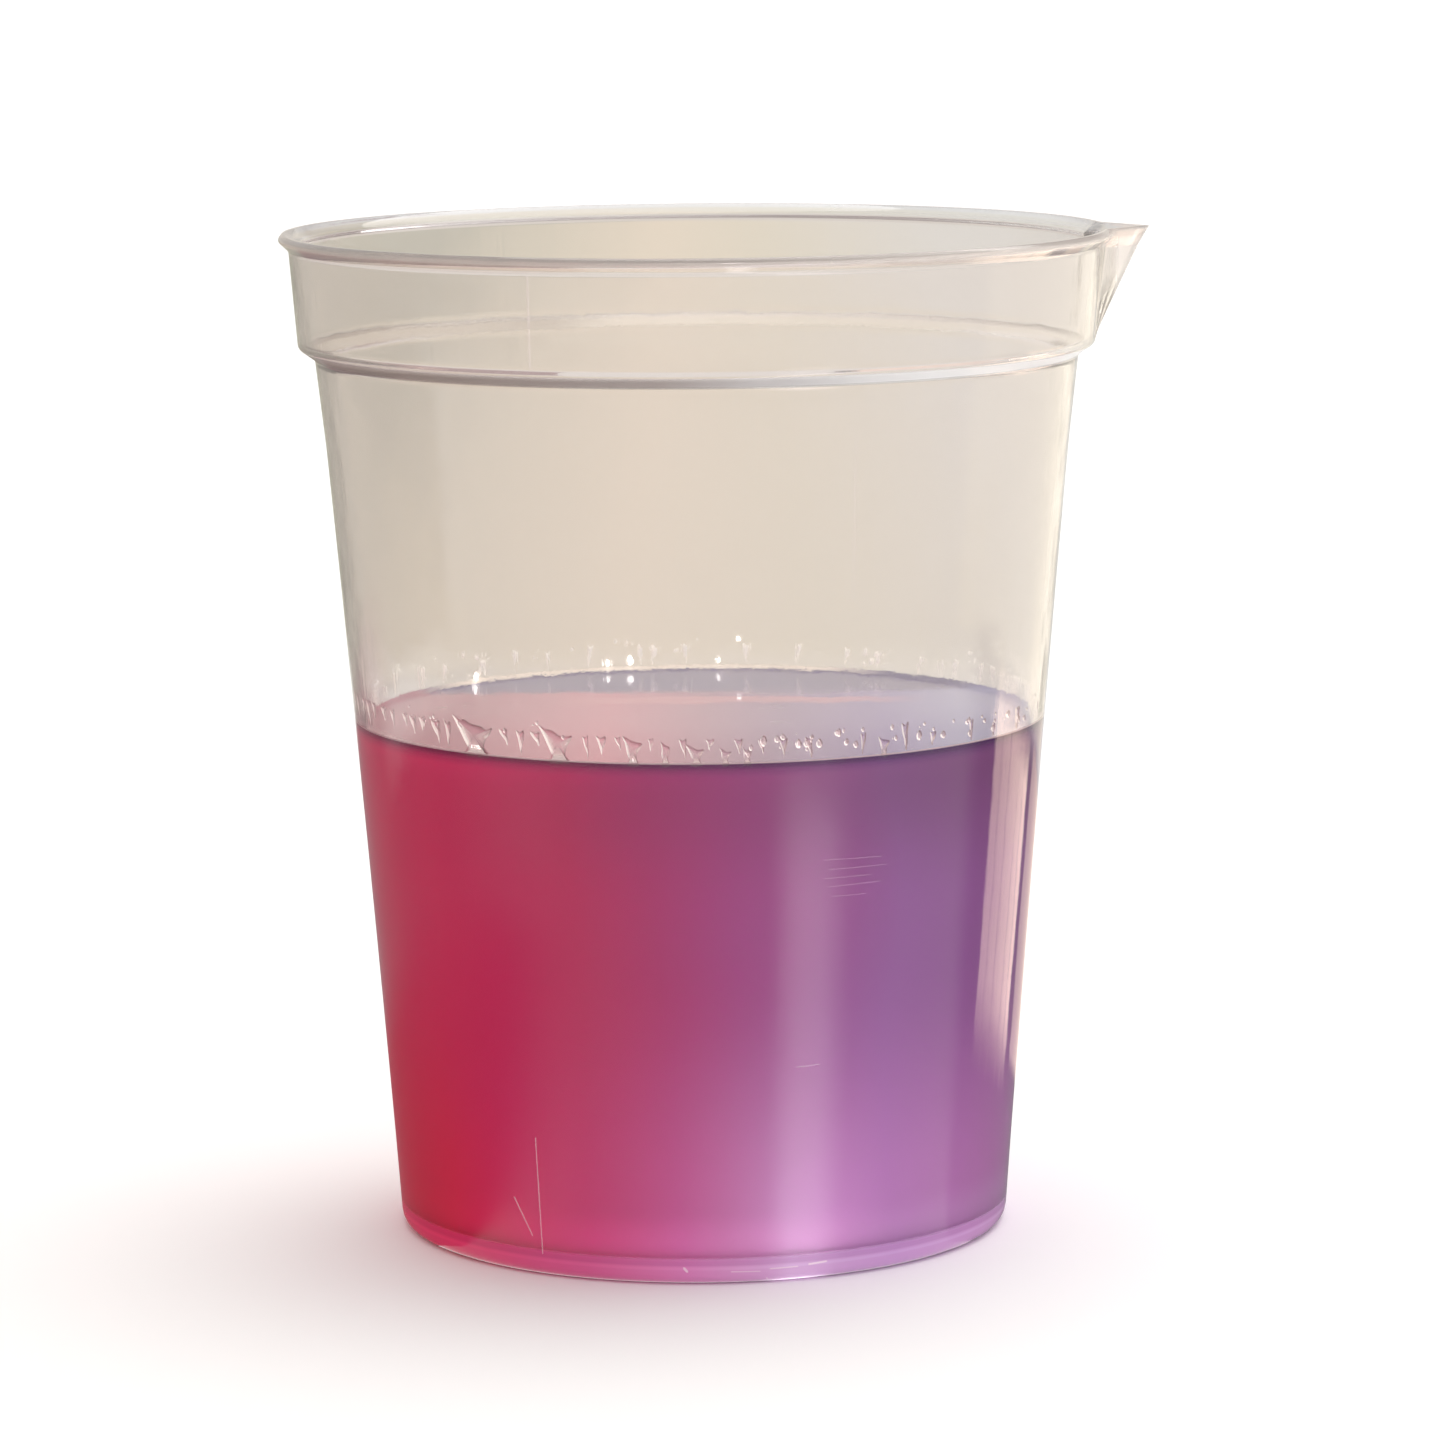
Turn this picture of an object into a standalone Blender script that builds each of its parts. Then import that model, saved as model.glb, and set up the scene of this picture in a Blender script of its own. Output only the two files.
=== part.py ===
"""Fuel sampler cup: a thin clear beaker with a collar, a rim flange and a pouring spout, half full of fuel.

Metres, +Z up. The origin is the centre of the flat underside, +Z runs up the cup's axis and +X points
at the spout. Run it with: blender --background --python part.py
"""

import math

import bmesh
import bpy
from mathutils import Vector

# Driving dimensions of the cup.
CUP_HEIGHT = 0.0822
WALL = 0.0008
FLOOR_THICKNESS = 0.0016

# Rim flange.
RIM_RADIUS = 0.0340
RIM_EDGE_TOP_Z = 0.08187
RIM_EDGE_BOTTOM_Z = 0.08165
RIM_UNDERSIDE_Z = 0.0809
RIM_CREST_RADIUS = 0.0337

# Collar: the wider band between the rim and the step.
COLLAR_TOP_RADIUS = 0.0332
COLLAR_FOOT_RADIUS = 0.0326
COLLAR_FOOT_Z = 0.0731

# Step from the collar in to the body.
STEP_OUTER = (0.0322, 0.0725)
STEP_INNER = (0.0313, 0.0719)
BODY_TOP_Z = 0.0712

# Body: the outer radius at the base line, its taper, and the slight extra flare towards the top.
BODY_BASE_RADIUS = 0.0251
BODY_TAPER = 0.0735
BODY_FLARE = 0.125
BODY_ROWS = 6
FOOT_ROUND = 0.0013
INNER_FOOT_ROUND = 0.0012

# Spout: a V pressed outward from the collar at +X.
SPOUT_TIP_X = 0.0370
SPOUT_HALF_WIDTH = 0.0056
SPOUT_ROOT_X = 0.0328
SPOUT_ROOT_Z = 0.0750
SPOUT_SHOULDER_X = 0.0327
SPOUT_OVERLAP = 0.06
CHANNEL_OVERSHOOT = 0.15
CHANNEL_BACK_X = 0.0290

# The fuel sample, and the film of fuel that clings to the wall above its surface.
FUEL_LEVEL_Z = 0.0424
CLEARANCE = 0.0003
FILM_THICKNESS = 0.00015
FILM_HEIGHT = 0.0026
FILM_WAVE = 0.0005
FILM_TEARS = 24
FILM_SWELLS = 5

SEGMENTS = 72
MERGE_DISTANCE = 0.00001
ROUND_STEPS = 4


def remove_everything():
    """Empty the scene without closing the file."""
    for item in list(bpy.data.objects):
        bpy.data.objects.remove(item, do_unlink=True)


def new_collection(name):
    collection = bpy.data.collections.new(name)
    bpy.context.scene.collection.children.link(collection)
    return collection


def plastic(name, colour, roughness, alpha):
    """A Principled material; every piece here is a non-metal."""
    material = bpy.data.materials.new(name)
    material.use_nodes = True
    shader = material.node_tree.nodes["Principled BSDF"]
    shader.inputs["Base Color"].default_value = (*colour, 1.0)
    shader.inputs["Roughness"].default_value = roughness
    shader.inputs["Metallic"].default_value = 0.0
    shader.inputs["Alpha"].default_value = alpha
    material.diffuse_color = (*colour, alpha)
    return material


def body_radius(z):
    """Outer radius of the tapered body at height z."""
    return BODY_BASE_RADIUS + BODY_TAPER * z + BODY_FLARE * z * z


def body_rows(low, high):
    """Heights from low to high, both included, for a wall that is almost straight."""
    return [low + (high - low) * row / BODY_ROWS for row in range(BODY_ROWS + 1)]


def corner_round(outer_radius, bottom_z, radius):
    """Points of a quarter round, from the vertical wall in to the flat underneath it."""
    points = []
    for step in range(ROUND_STEPS + 1):
        angle = math.pi / 2 * step / ROUND_STEPS
        r = outer_radius - radius + radius * math.cos(angle)
        points.append((r, bottom_z + radius - radius * math.sin(angle)))
    return points


def inner_wall(gap, top_z, floor_z):
    """The wall line inside the body, gap inside the plastic, from top_z down to the centre of the floor."""
    inset = WALL + gap
    round_top = floor_z + INNER_FOOT_ROUND
    wall = [(body_radius(z) - inset, z) for z in reversed(body_rows(round_top, top_z))]
    corner = corner_round(body_radius(round_top) - inset, floor_z, INNER_FOOT_ROUND)
    return wall + corner[1:] + [(0.0, floor_z)]


def cup_profile():
    """Half section of the cup: up the inside, over the rim, down the outside, in along the underside."""
    inside = list(reversed(inner_wall(0.0, BODY_TOP_Z, FLOOR_THICKNESS)))
    inner_step = [(r - WALL, z + WALL / 2) for r, z in (STEP_INNER, STEP_OUTER)]
    collar_inside = [
        (COLLAR_FOOT_RADIUS - WALL, COLLAR_FOOT_Z + WALL / 2),
        (COLLAR_TOP_RADIUS - WALL, RIM_EDGE_TOP_Z),
        (COLLAR_TOP_RADIUS - WALL / 2, CUP_HEIGHT),
    ]
    rim = [
        (RIM_CREST_RADIUS, CUP_HEIGHT),
        (RIM_RADIUS, RIM_EDGE_TOP_Z),
        (RIM_RADIUS, RIM_EDGE_BOTTOM_Z),
        (COLLAR_TOP_RADIUS, RIM_UNDERSIDE_Z),
    ]
    outer_step = [(COLLAR_FOOT_RADIUS, COLLAR_FOOT_Z), STEP_OUTER, STEP_INNER]
    body = [(body_radius(z), z) for z in reversed(body_rows(FOOT_ROUND, BODY_TOP_Z))]
    foot = corner_round(body_radius(FOOT_ROUND), 0.0, FOOT_ROUND)
    return inside + inner_step + collar_inside + rim + outer_step + body + foot[1:] + [(0.0, 0.0)]


def turned(name, profile, material, collection):
    """Turn a half section, given as (radius, height) points, about the Z axis."""
    mesh = bpy.data.meshes.new(name)
    edges = [(i, i + 1) for i in range(len(profile) - 1)]
    mesh.from_pydata([(r, 0.0, z) for r, z in profile], edges, [])
    mesh.materials.append(material)
    item = bpy.data.objects.new(name, mesh)
    collection.objects.link(item)
    screw = item.modifiers.new("turn", "SCREW")
    screw.axis = "Z"
    screw.angle = math.tau
    screw.steps = SEGMENTS
    screw.render_steps = SEGMENTS
    screw.use_merge_vertices = True
    screw.merge_threshold = MERGE_DISTANCE
    screw.use_smooth_shade = True
    return item


def spout_corner_points():
    """The V's root on the collar, its tip, and its two shoulders, where it leaves the rim."""
    root = Vector((SPOUT_ROOT_X, 0.0, SPOUT_ROOT_Z))
    tip = Vector((SPOUT_TIP_X, 0.0, CUP_HEIGHT))
    shoulders = [Vector((SPOUT_SHOULDER_X, side * SPOUT_HALF_WIDTH, CUP_HEIGHT)) for side in (-1, 1)]
    return root, tip, shoulders


def hull_solid(name, points, collection):
    """The closed convex solid round a few corner points."""
    shape = bmesh.new()
    for point in points:
        shape.verts.new(point)
    bmesh.ops.convex_hull(shape, input=shape.verts)
    bmesh.ops.recalc_face_normals(shape, faces=shape.faces)
    mesh = bpy.data.meshes.new(name)
    shape.to_mesh(mesh)
    shape.free()
    item = bpy.data.objects.new(name, mesh)
    collection.objects.link(item)
    item.hide_render = True
    item.display_type = "WIRE"
    return item


def spout_outside(collection):
    """The V's outside, sunk a little into the collar's wall so that the two join."""
    root, tip, shoulders = spout_corner_points()
    points = [tip, root + (root - tip) * SPOUT_OVERLAP]
    points += [shoulder + (shoulder - tip) * SPOUT_OVERLAP for shoulder in shoulders]
    return hull_solid("spout_outside", points, collection)


def spout_channel(collection):
    """The V's inside: the same two planes, one wall thickness in, run up past the rim and back into the cup."""
    root, tip, shoulders = spout_corner_points()
    normal = (tip - root).cross(shoulders[1] - root).normalized()
    inset = Vector((WALL / abs(normal.x), 0.0, 0.0))
    inner_root = root - inset
    top = [root + (corner - root) * (1 + CHANNEL_OVERSHOOT) - inset for corner in (tip, *shoulders)]
    back = [Vector((CHANNEL_BACK_X, corner.y, corner.z)) for corner in top[1:]]
    back.append(Vector((CHANNEL_BACK_X, 0.0, inner_root.z)))
    return hull_solid("spout_channel", [inner_root, *top, *back], collection)


def cut_or_join(item, tool, operation):
    boolean = item.modifiers.new(tool.name, "BOOLEAN")
    boolean.operation = operation
    boolean.solver = "EXACT"
    boolean.object = tool


def make_cup(parts, tools):
    """The whole cup is one moulding: floor, body, step, collar, rim and spout."""
    material = plastic("clear_plastic", (0.80, 0.75, 0.68), 0.12, 0.35)
    cup = turned("cup", cup_profile(), material, parts)
    cut_or_join(cup, spout_outside(tools), "UNION")
    cut_or_join(cup, spout_channel(tools), "DIFFERENCE")
    return cup


def make_fuel_sample(parts):
    """The fuel as a solid of its own volume, clear of the wall and floor by the clearance."""
    material = plastic("dyed_fuel", (0.42, 0.06, 0.20), 0.05, 0.9)
    profile = [(0.0, FUEL_LEVEL_Z)]
    profile += inner_wall(CLEARANCE, FUEL_LEVEL_Z, FLOOR_THICKNESS + CLEARANCE)
    return turned("fuel_sample", profile, material, parts)


def film_top(angle):
    """Height of the film's scalloped top edge: narrow tears on a slow swell, deeper away from the spout."""
    tears = abs(math.sin(FILM_TEARS * angle / 2))
    swell = math.sin(FILM_SWELLS * angle + 1.0)
    lean = -math.cos(angle)
    return FUEL_LEVEL_Z + FILM_HEIGHT + FILM_WAVE * (2 * tears + swell + lean)


def make_wall_film(parts):
    """The wet film above the fuel: a thin band on the wall with a scalloped top edge."""
    inset = WALL + CLEARANCE
    low = FUEL_LEVEL_Z + CLEARANCE
    band = bmesh.new()
    bmesh.ops.create_circle(band, segments=SEGMENTS * 2, radius=body_radius(low) - inset)
    bmesh.ops.translate(band, verts=band.verts, vec=(0.0, 0.0, low))
    raised = bmesh.ops.extrude_edge_only(band, edges=band.edges)["geom"]
    for vertex in [part for part in raised if isinstance(part, bmesh.types.BMVert)]:
        angle = math.atan2(vertex.co.y, vertex.co.x)
        top = film_top(angle)
        radius = body_radius(top) - inset
        vertex.co = Vector((radius * math.cos(angle), radius * math.sin(angle), top))
    bmesh.ops.recalc_face_normals(band, faces=band.faces)
    mesh = bpy.data.meshes.new("wall_film")
    band.to_mesh(mesh)
    band.free()
    mesh.materials.append(plastic("fuel_film", (0.72, 0.42, 0.50), 0.05, 0.4))
    film = bpy.data.objects.new("wall_film", mesh)
    parts.objects.link(film)
    solidify = film.modifiers.new("thickness", "SOLIDIFY")
    solidify.thickness = FILM_THICKNESS
    solidify.offset = -1.0
    return film


def main():
    remove_everything()
    parts = new_collection("fuel_sampler_cup")
    tools = new_collection("cutters")
    make_cup(parts, tools)
    make_fuel_sample(parts)
    make_wall_film(parts)


main()
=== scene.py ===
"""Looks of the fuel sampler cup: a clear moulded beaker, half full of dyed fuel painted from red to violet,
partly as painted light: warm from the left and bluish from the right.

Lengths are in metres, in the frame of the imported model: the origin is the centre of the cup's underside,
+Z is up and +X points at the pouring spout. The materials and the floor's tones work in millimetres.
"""

import math
import random

import bmesh
import bpy
from mathutils import Matrix, Vector


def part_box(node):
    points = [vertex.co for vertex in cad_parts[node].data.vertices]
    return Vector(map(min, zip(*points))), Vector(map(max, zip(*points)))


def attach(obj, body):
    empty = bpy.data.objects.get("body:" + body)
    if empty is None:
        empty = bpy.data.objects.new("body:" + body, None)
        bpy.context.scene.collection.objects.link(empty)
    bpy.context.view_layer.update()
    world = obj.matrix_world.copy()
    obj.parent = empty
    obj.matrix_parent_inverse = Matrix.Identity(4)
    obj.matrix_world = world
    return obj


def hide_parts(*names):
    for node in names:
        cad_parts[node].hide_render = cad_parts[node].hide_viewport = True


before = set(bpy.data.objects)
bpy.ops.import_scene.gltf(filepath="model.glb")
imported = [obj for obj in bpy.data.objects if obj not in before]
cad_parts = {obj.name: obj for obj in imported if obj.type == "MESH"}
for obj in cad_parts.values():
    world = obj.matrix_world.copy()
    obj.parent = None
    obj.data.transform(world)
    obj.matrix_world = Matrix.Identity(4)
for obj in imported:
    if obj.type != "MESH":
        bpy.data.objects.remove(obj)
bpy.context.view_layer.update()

MM = 0.001

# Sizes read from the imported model.
CUP_LOW, CUP_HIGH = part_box("cup")
HEIGHT = CUP_HIGH[2]
RIM_RADIUS = -CUP_LOW[0]
SPOUT_TIP_X = CUP_HIGH[0]
FUEL_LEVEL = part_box("fuel_sample")[1][2]

# The cup's section.
WALL = 0.8 * MM
FLOOR = 1.6 * MM
COLLAR_TOP_RADIUS = RIM_RADIUS - 0.8 * MM
COLLAR_FOOT_RADIUS = RIM_RADIUS - 1.4 * MM
COLLAR_FOOT_Z = HEIGHT - 9.2 * MM
STEP_Z = HEIGHT - 10.3 * MM
STEP_RADIUS = 31.15 * MM
BODY_BASE_RADIUS = 25.1 * MM
BODY_TAPER = 0.0735
BODY_FLARE = 0.125
BODY_ROWS = 12
COARSE_TURN = math.radians(2.0)
FINE_TURN = math.radians(0.5)
FINE_REACH = math.radians(14.0)

# The spout: a V pressed out of the collar.
SPOUT_HALF_WIDTH = 5.6 * MM
SPOUT_SHOULDER_X = 32.7 * MM
SPOUT_ROOT_X = 32.8 * MM
SPOUT_ROOT_Z = HEIGHT - 7.2 * MM
SPOUT_EDGE_ROUND = 0.35 * MM
SPOUT_BLEND = 0.35 * MM
SPOUT_REACH = 0.5

# The fuel. It stands a hair inside the cup's wall, so that no gap shows between them.
CONTACT = 0.03 * MM
MENISCUS_CLIMB = 0.35 * MM
MENISCUS_REACH = 2.6 * MM
MENISCUS_DECAY = 4.5
FUEL_SIDES = 192

# Places in millimetres, for the materials. SWEEP is half the width that the fuel's colours are spread over.
TOP = HEIGHT / MM
RIM = RIM_RADIUS / MM
BRINK = FUEL_LEVEL / MM
LEDGE = STEP_Z / MM
FOOT = FLOOR / MM
SWEEP = 27.0

PLASTIC_IOR = 1.49
FUEL_IOR = 1.40
FILM_IOR = 1.18


# ---------------------------------------------------------------- sections and grids


def body_radius(z):
    """Outer radius of the tapered body at height z."""
    return BODY_BASE_RADIUS + BODY_TAPER * z + BODY_FLARE * z * z


def inner_radius(z):
    """Radius of the wetted face of the body's wall at height z."""
    return body_radius(z) - WALL


def body_line(low, high, rows, inset=0.0):
    """Points up the body's wall from low to high, both left out, inset from its outer face."""
    heights = [low + (high - low) * row / rows for row in range(1, rows)]
    return [(body_radius(z) - inset, z, 0.0) for z in heights]


def rounded(corners, steps=5):
    """A section line through (radius, height, round) corners, each corner eased over its round's length."""
    longest_share = 0.48
    points = []
    for i, (r, z, ease) in enumerate(corners):
        here = Vector((r, z))
        if ease == 0.0 or i in (0, len(corners) - 1):
            points.append(here)
            continue
        before = Vector(corners[i - 1][:2]) - here
        after = Vector(corners[i + 1][:2]) - here
        start = here + before.normalized() * min(ease, before.length * longest_share)
        end = here + after.normalized() * min(ease, after.length * longest_share)
        for step in range(steps + 1):
            t = step / steps
            points.append((1 - t) ** 2 * start + 2 * t * (1 - t) * here + t * t * end)
    return points


def smooth_max(a, b, ease):
    """The larger of two lengths, blended where they are within ease of each other."""
    h = max(ease - abs(a - b), 0.0) / ease
    return max(a, b) + h * h * ease / 4


def spout_radius(angle, z, inset):
    """Distance from the axis to the V of the spout at this angle and height, inset from its outer face."""
    root = Vector((SPOUT_ROOT_X, 0.0, SPOUT_ROOT_Z))
    tip = Vector((SPOUT_TIP_X, 0.0, HEIGHT))
    shoulder = Vector((SPOUT_SHOULDER_X, SPOUT_HALF_WIDTH, HEIGHT))
    normal = (tip - root).cross(shoulder - root).normalized()
    if normal.x < 0:
        normal = -normal
    reach = normal.x * (SPOUT_ROOT_X - inset / normal.x) - normal.z * (z - SPOUT_ROOT_Z)
    side = abs(math.sin(angle))
    soft = SPOUT_EDGE_ROUND / SPOUT_TIP_X
    side = math.sqrt(side * side + soft * soft) - soft
    return reach / (normal.x * math.cos(angle) + normal.y * side)


def ring_angles(coarse, fine, reach):
    """Angles round the axis, closer together within reach of the spout, with one exactly on its ridge."""
    angles = []
    angle = -math.pi
    while angle < math.pi - 1e-6:
        angles.append(angle)
        angle += fine if abs(angle + coarse / 2) < reach else coarse
    shift = min(angles, key=abs)
    return [a - shift for a in angles]


def lathe(name, section, angles, radius_at, sharp_degrees=None):
    """Turn a section of (radius, height) points that starts and ends on the axis. radius_at bends it."""
    shape = bmesh.new()
    rings = []
    for index, (r, z) in enumerate(section):
        if r < 1e-7:
            rings.append([shape.verts.new((0.0, 0.0, z))])
            continue
        ring = []
        for a in angles:
            bent = radius_at(index, r, z, a)
            ring.append(shape.verts.new((bent * math.cos(a), bent * math.sin(a), z)))
        rings.append(ring)
    count = len(angles)
    for lower, upper in zip(rings, rings[1:]):
        for i in range(count):
            j = (i + 1) % count
            if len(lower) == 1:
                shape.faces.new((lower[0], upper[j], upper[i]))
            elif len(upper) == 1:
                shape.faces.new((lower[i], lower[j], upper[0]))
            else:
                shape.faces.new((lower[i], lower[j], upper[j], upper[i]))
    bmesh.ops.recalc_face_normals(shape, faces=shape.faces)
    return mesh_object(name, shape, sharp_degrees)


def mesh_object(name, shape, sharp_degrees=None):
    """A smooth-shaded object from a bmesh, which is freed."""
    mesh = bpy.data.meshes.new(name)
    shape.to_mesh(mesh)
    shape.free()
    mesh.shade_smooth()
    if sharp_degrees is not None:
        mesh.set_sharp_from_angle(angle=math.radians(sharp_degrees))
    item = bpy.data.objects.new(name, mesh)
    bpy.context.scene.collection.objects.link(item)
    return item


def finish_piece(piece, material, slot, *nodes):
    """Give a piece its material, ride it on the cup, and let it stand for CAD nodes. slot is not used."""
    piece.data.materials.clear()
    piece.data.materials.append(material)
    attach(piece, "root")
    if nodes:
        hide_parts(*nodes)
    return piece


# ---------------------------------------------------------------- node helpers


class Nodes:
    """Short calls for building the node tree of a new material, or a tree that is passed in."""

    def __init__(self, name, tree=None):
        if tree is None:
            self.material = bpy.data.materials.new(name)
            self.material.use_nodes = True
            tree = self.material.node_tree
        self.tree = tree
        self.tree.nodes.clear()

    def add(self, kind, **inputs):
        node = self.tree.nodes.new("ShaderNode" + kind)
        for key, value in inputs.items():
            self.set(node.inputs[key.replace("_", " ")], value)
        return node

    def set(self, socket, value):
        if isinstance(value, bpy.types.NodeSocket):
            self.tree.links.new(value, socket)
        else:
            socket.default_value = value

    def math(self, operation, a, b=0.0):
        node = self.tree.nodes.new("ShaderNodeMath")
        node.operation = operation
        self.set(node.inputs[0], a)
        self.set(node.inputs[1], b)
        return node.outputs[0]

    def times(self, first, *others):
        for other in others:
            first = self.math("MULTIPLY", first, other)
        return first

    def dot(self, first, second):
        """The dot product of two flat vectors."""
        products = [self.times(a, b) for a, b in zip(first, second)]
        return self.math("ADD", *products)

    def length(self, x, y):
        return self.math("SQRT", self.dot((x, y), (x, y)))

    def range(self, value, low, high, to_low=0.0, to_high=1.0, smooth=True):
        """value's place between low and high, mapped to between to_low and to_high."""
        node = self.tree.nodes.new("ShaderNodeMapRange")
        node.interpolation_type = "SMOOTHSTEP" if smooth else "LINEAR"
        keys = ("Value", "From Min", "From Max", "To Min", "To Max")
        for key, item in zip(keys, (value, low, high, to_low, to_high)):
            self.set(node.inputs[key], item)
        return node.outputs["Result"]

    def window(self, value, first, full, fading, last):
        """0 up to first, rising to 1 at full, then falling from fading to 0 at last."""
        return self.times(self.range(value, first, full), self.range(value, last, fading))

    def mix(self, factor, a, b, blend="MIX"):
        node = self.tree.nodes.new("ShaderNodeMix")
        node.data_type = "RGBA"
        node.blend_type = blend
        self.set(node.inputs[0], factor)
        self.set(node.inputs[6], a)
        self.set(node.inputs[7], b)
        return node.outputs[2]

    def shade(self, factor, colour, tint):
        """The colour, multiplied by the tint where factor is 1."""
        return self.mix(factor, colour, tint, "MULTIPLY")

    def noise(self, vector, scale, detail=2.0, roughness=0.5):
        node = self.add("TexNoise", Vector=vector, Scale=scale, Detail=detail, Roughness=roughness)
        return node.outputs["Fac"]

    def ramp(self, factor, stops):
        node = self.tree.nodes.new("ShaderNodeValToRGB")
        elements = node.color_ramp.elements
        while len(elements) < len(stops):
            elements.new(0.5)
        for element, (position, colour) in zip(elements, stops):
            element.position = position
            element.color = (*colour, 1.0)
        self.set(node.inputs[0], factor)
        return node.outputs[0]

    def sweep(self, x, stops, half=SWEEP):
        """A colour that follows the stops from x = -half to half."""
        return self.ramp(self.range(x, -half, half, smooth=False), stops)

    def place(self):
        """The point in the cup's frame, in millimetres, and its X, Y and Z."""
        point = self.add("TexCoord").outputs["Object"]
        scaled = self.tree.nodes.new("ShaderNodeVectorMath")
        scaled.operation = "SCALE"
        self.set(scaled.inputs[0], point)
        scaled.inputs["Scale"].default_value = 1.0 / MM
        split = self.add("SeparateXYZ", Vector=scaled.outputs[0])
        return scaled.outputs[0], *split.outputs

    def blend(self, factor, first, second):
        node = self.add("MixShader")
        self.set(node.inputs[0], factor)
        self.set(node.inputs[1], first.outputs[0])
        self.set(node.inputs[2], second.outputs[0])
        return node

    def fan(self, x, y, centre, turn, reach):
        """1 on a fan-shaped patch of floor with faded edges. turn is its first and last direction and their
        fade, in degrees with 0 at the front and 90 at +X. reach is its near and far end and fade, in mm."""
        first, last, soft = turn
        near, far, edge = reach
        dx = self.math("SUBTRACT", x, centre[0])
        dy = self.math("SUBTRACT", y, centre[1])
        direction = self.math("DEGREES", self.math("ARCTAN2", dx, self.times(dy, -1.0)))
        sides = self.window(direction, first, first + soft, last - soft, last)
        ends = self.window(self.length(dx, dy), near, near + edge, far - edge, far)
        return self.times(sides, ends)

    def scratch(self, x, z, start, end, width):
        """1 on a straight scratch between two (x, z) places in mm, fading out over half its width."""
        dx, dz = end[0] - start[0], end[1] - start[1]
        length = math.hypot(dx, dz)
        offset = (self.math("SUBTRACT", x, start[0]), self.math("SUBTRACT", z, start[1]))
        along = self.dot(offset, (dx / length, dz / length))
        beside = self.dot(offset, (dz / length, -dx / length))
        nearest = self.math("MINIMUM", self.math("MAXIMUM", along, 0.0), length)
        past = self.math("SUBTRACT", along, nearest)
        away = self.math("ADD", self.math("ABSOLUTE", beside), self.math("ABSOLUTE", past))
        return self.range(away, width, width / 2)

    def output(self, surface):
        self.add("OutputMaterial", Surface=surface)
        return self.material


# ---------------------------------------------------------------- materials


# The fuel from left to right: (share of the way across, colour), in the middle of the pool and low down. The
# sweep from crimson to violet is partly the dye and partly painted light, warm from the left and bluish from
# the right; the low stops are paler with painted light from the floor.
DYE_AND_LIGHT_MIDDLE = [
    (0.10, (0.93, 0.036, 0.195)),
    (0.32, (0.73, 0.005, 0.172)),
    (0.44, (0.61, 0.028, 0.25)),
    (0.56, (0.53, 0.070, 0.35)),
    (0.78, (0.41, 0.147, 0.47)),
    (0.92, (0.35, 0.110, 0.39)),
]
DYE_AND_LIGHT_LOW = [
    (0.12, (1.00, 0.017, 0.125)),
    (0.32, (0.85, 0.036, 0.28)),
    (0.46, (0.83, 0.151, 0.51)),
    (0.63, (0.78, 0.390, 0.76)),
    (0.78, (0.66, 0.278, 0.70)),
    (0.92, (0.72, 0.290, 0.71)),
]

# Painted light: how much the fuel brightens with light from the floor just over it, and how much of the
# fuel's colour is painted into the thick foot as a glow.
BASE_LIFT = [
    (0.17, (1.10, 1.00, 1.05)),
    (0.33, (1.26, 1.62, 1.36)),
    (0.46, (1.30, 1.52, 1.40)),
    (0.58, (1.26, 1.26, 1.25)),
    (0.68, (1.16, 1.15, 1.12)),
    (0.92, (1.16, 1.40, 1.22)),
]
FOOT_DIMMING = [
    (0.15, (0.74, 0.90, 0.84)),
    (0.45, (0.90, 0.97, 0.95)),
    (0.80, (0.90, 0.94, 0.92)),
    (0.95, (0.78, 0.84, 0.80)),
]

# The fuel's surface, painted paler than its body: a painted sheen.
SURFACE_SHEEN_TONES = [
    (0.15, (0.45, 0.15, 0.21)),
    (0.36, (0.64, 0.22, 0.29)),
    (0.50, (0.42, 0.19, 0.28)),
    (0.62, (0.29, 0.17, 0.31)),
    (0.78, (0.26, 0.19, 0.44)),
    (0.90, (0.36, 0.36, 0.61)),
]

# Painted shade and highlight on the near side of the step: dark on the left, pale on the right.
STEP_SHADE_TONES = [
    (0.10, (0.20, 0.17, 0.15)),
    (0.45, (0.30, 0.27, 0.26)),
    (0.62, (0.55, 0.55, 0.56)),
    (0.80, (0.85, 0.87, 0.88)),
]

# Scratches and nicks on the front of the plastic: from (x, z), to (x, z), width in mm, and strength.
SCRATCHES = [
    ((-13.4, 11.5), (-12.95, 1.9), 0.045, 0.38),
    ((-15.2, 6.3), (-13.75, 3.3), 0.05, 0.36),
    ((7.4, 17.7), (9.2, 17.8), 0.04, 0.30),
    ((9.6, 34.4), (14.2, 34.3), 0.035, 0.14),
    ((10.0, 33.6), (14.6, 33.6), 0.035, 0.16),
    ((9.6, 32.9), (13.4, 32.9), 0.035, 0.14),
    ((9.9, 32.2), (14.2, 32.3), 0.035, 0.14),
    ((10.2, 31.4), (13.0, 31.4), 0.035, 0.12),
    ((12.2, 68.0), (12.0, 55.0), 0.035, 0.12),
    ((-12.9, 80.8), (-12.8, 73.6), 0.07, 0.14),
    ((-1.65, 1.45), (-1.40, 1.15), 0.13, 0.60),
    ((2.1, 1.10), (4.4, 1.05), 0.05, 0.55),
    ((5.2, 1.22), (7.4, 1.26), 0.07, 0.55),
    ((8.3, 1.36), (9.7, 1.46), 0.10, 0.70),
    ((4.9, 0.42), (5.0, 0.30), 0.08, 0.50),
]
SCUFF = (0.95, 0.80, 0.86, 1.0)


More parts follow.
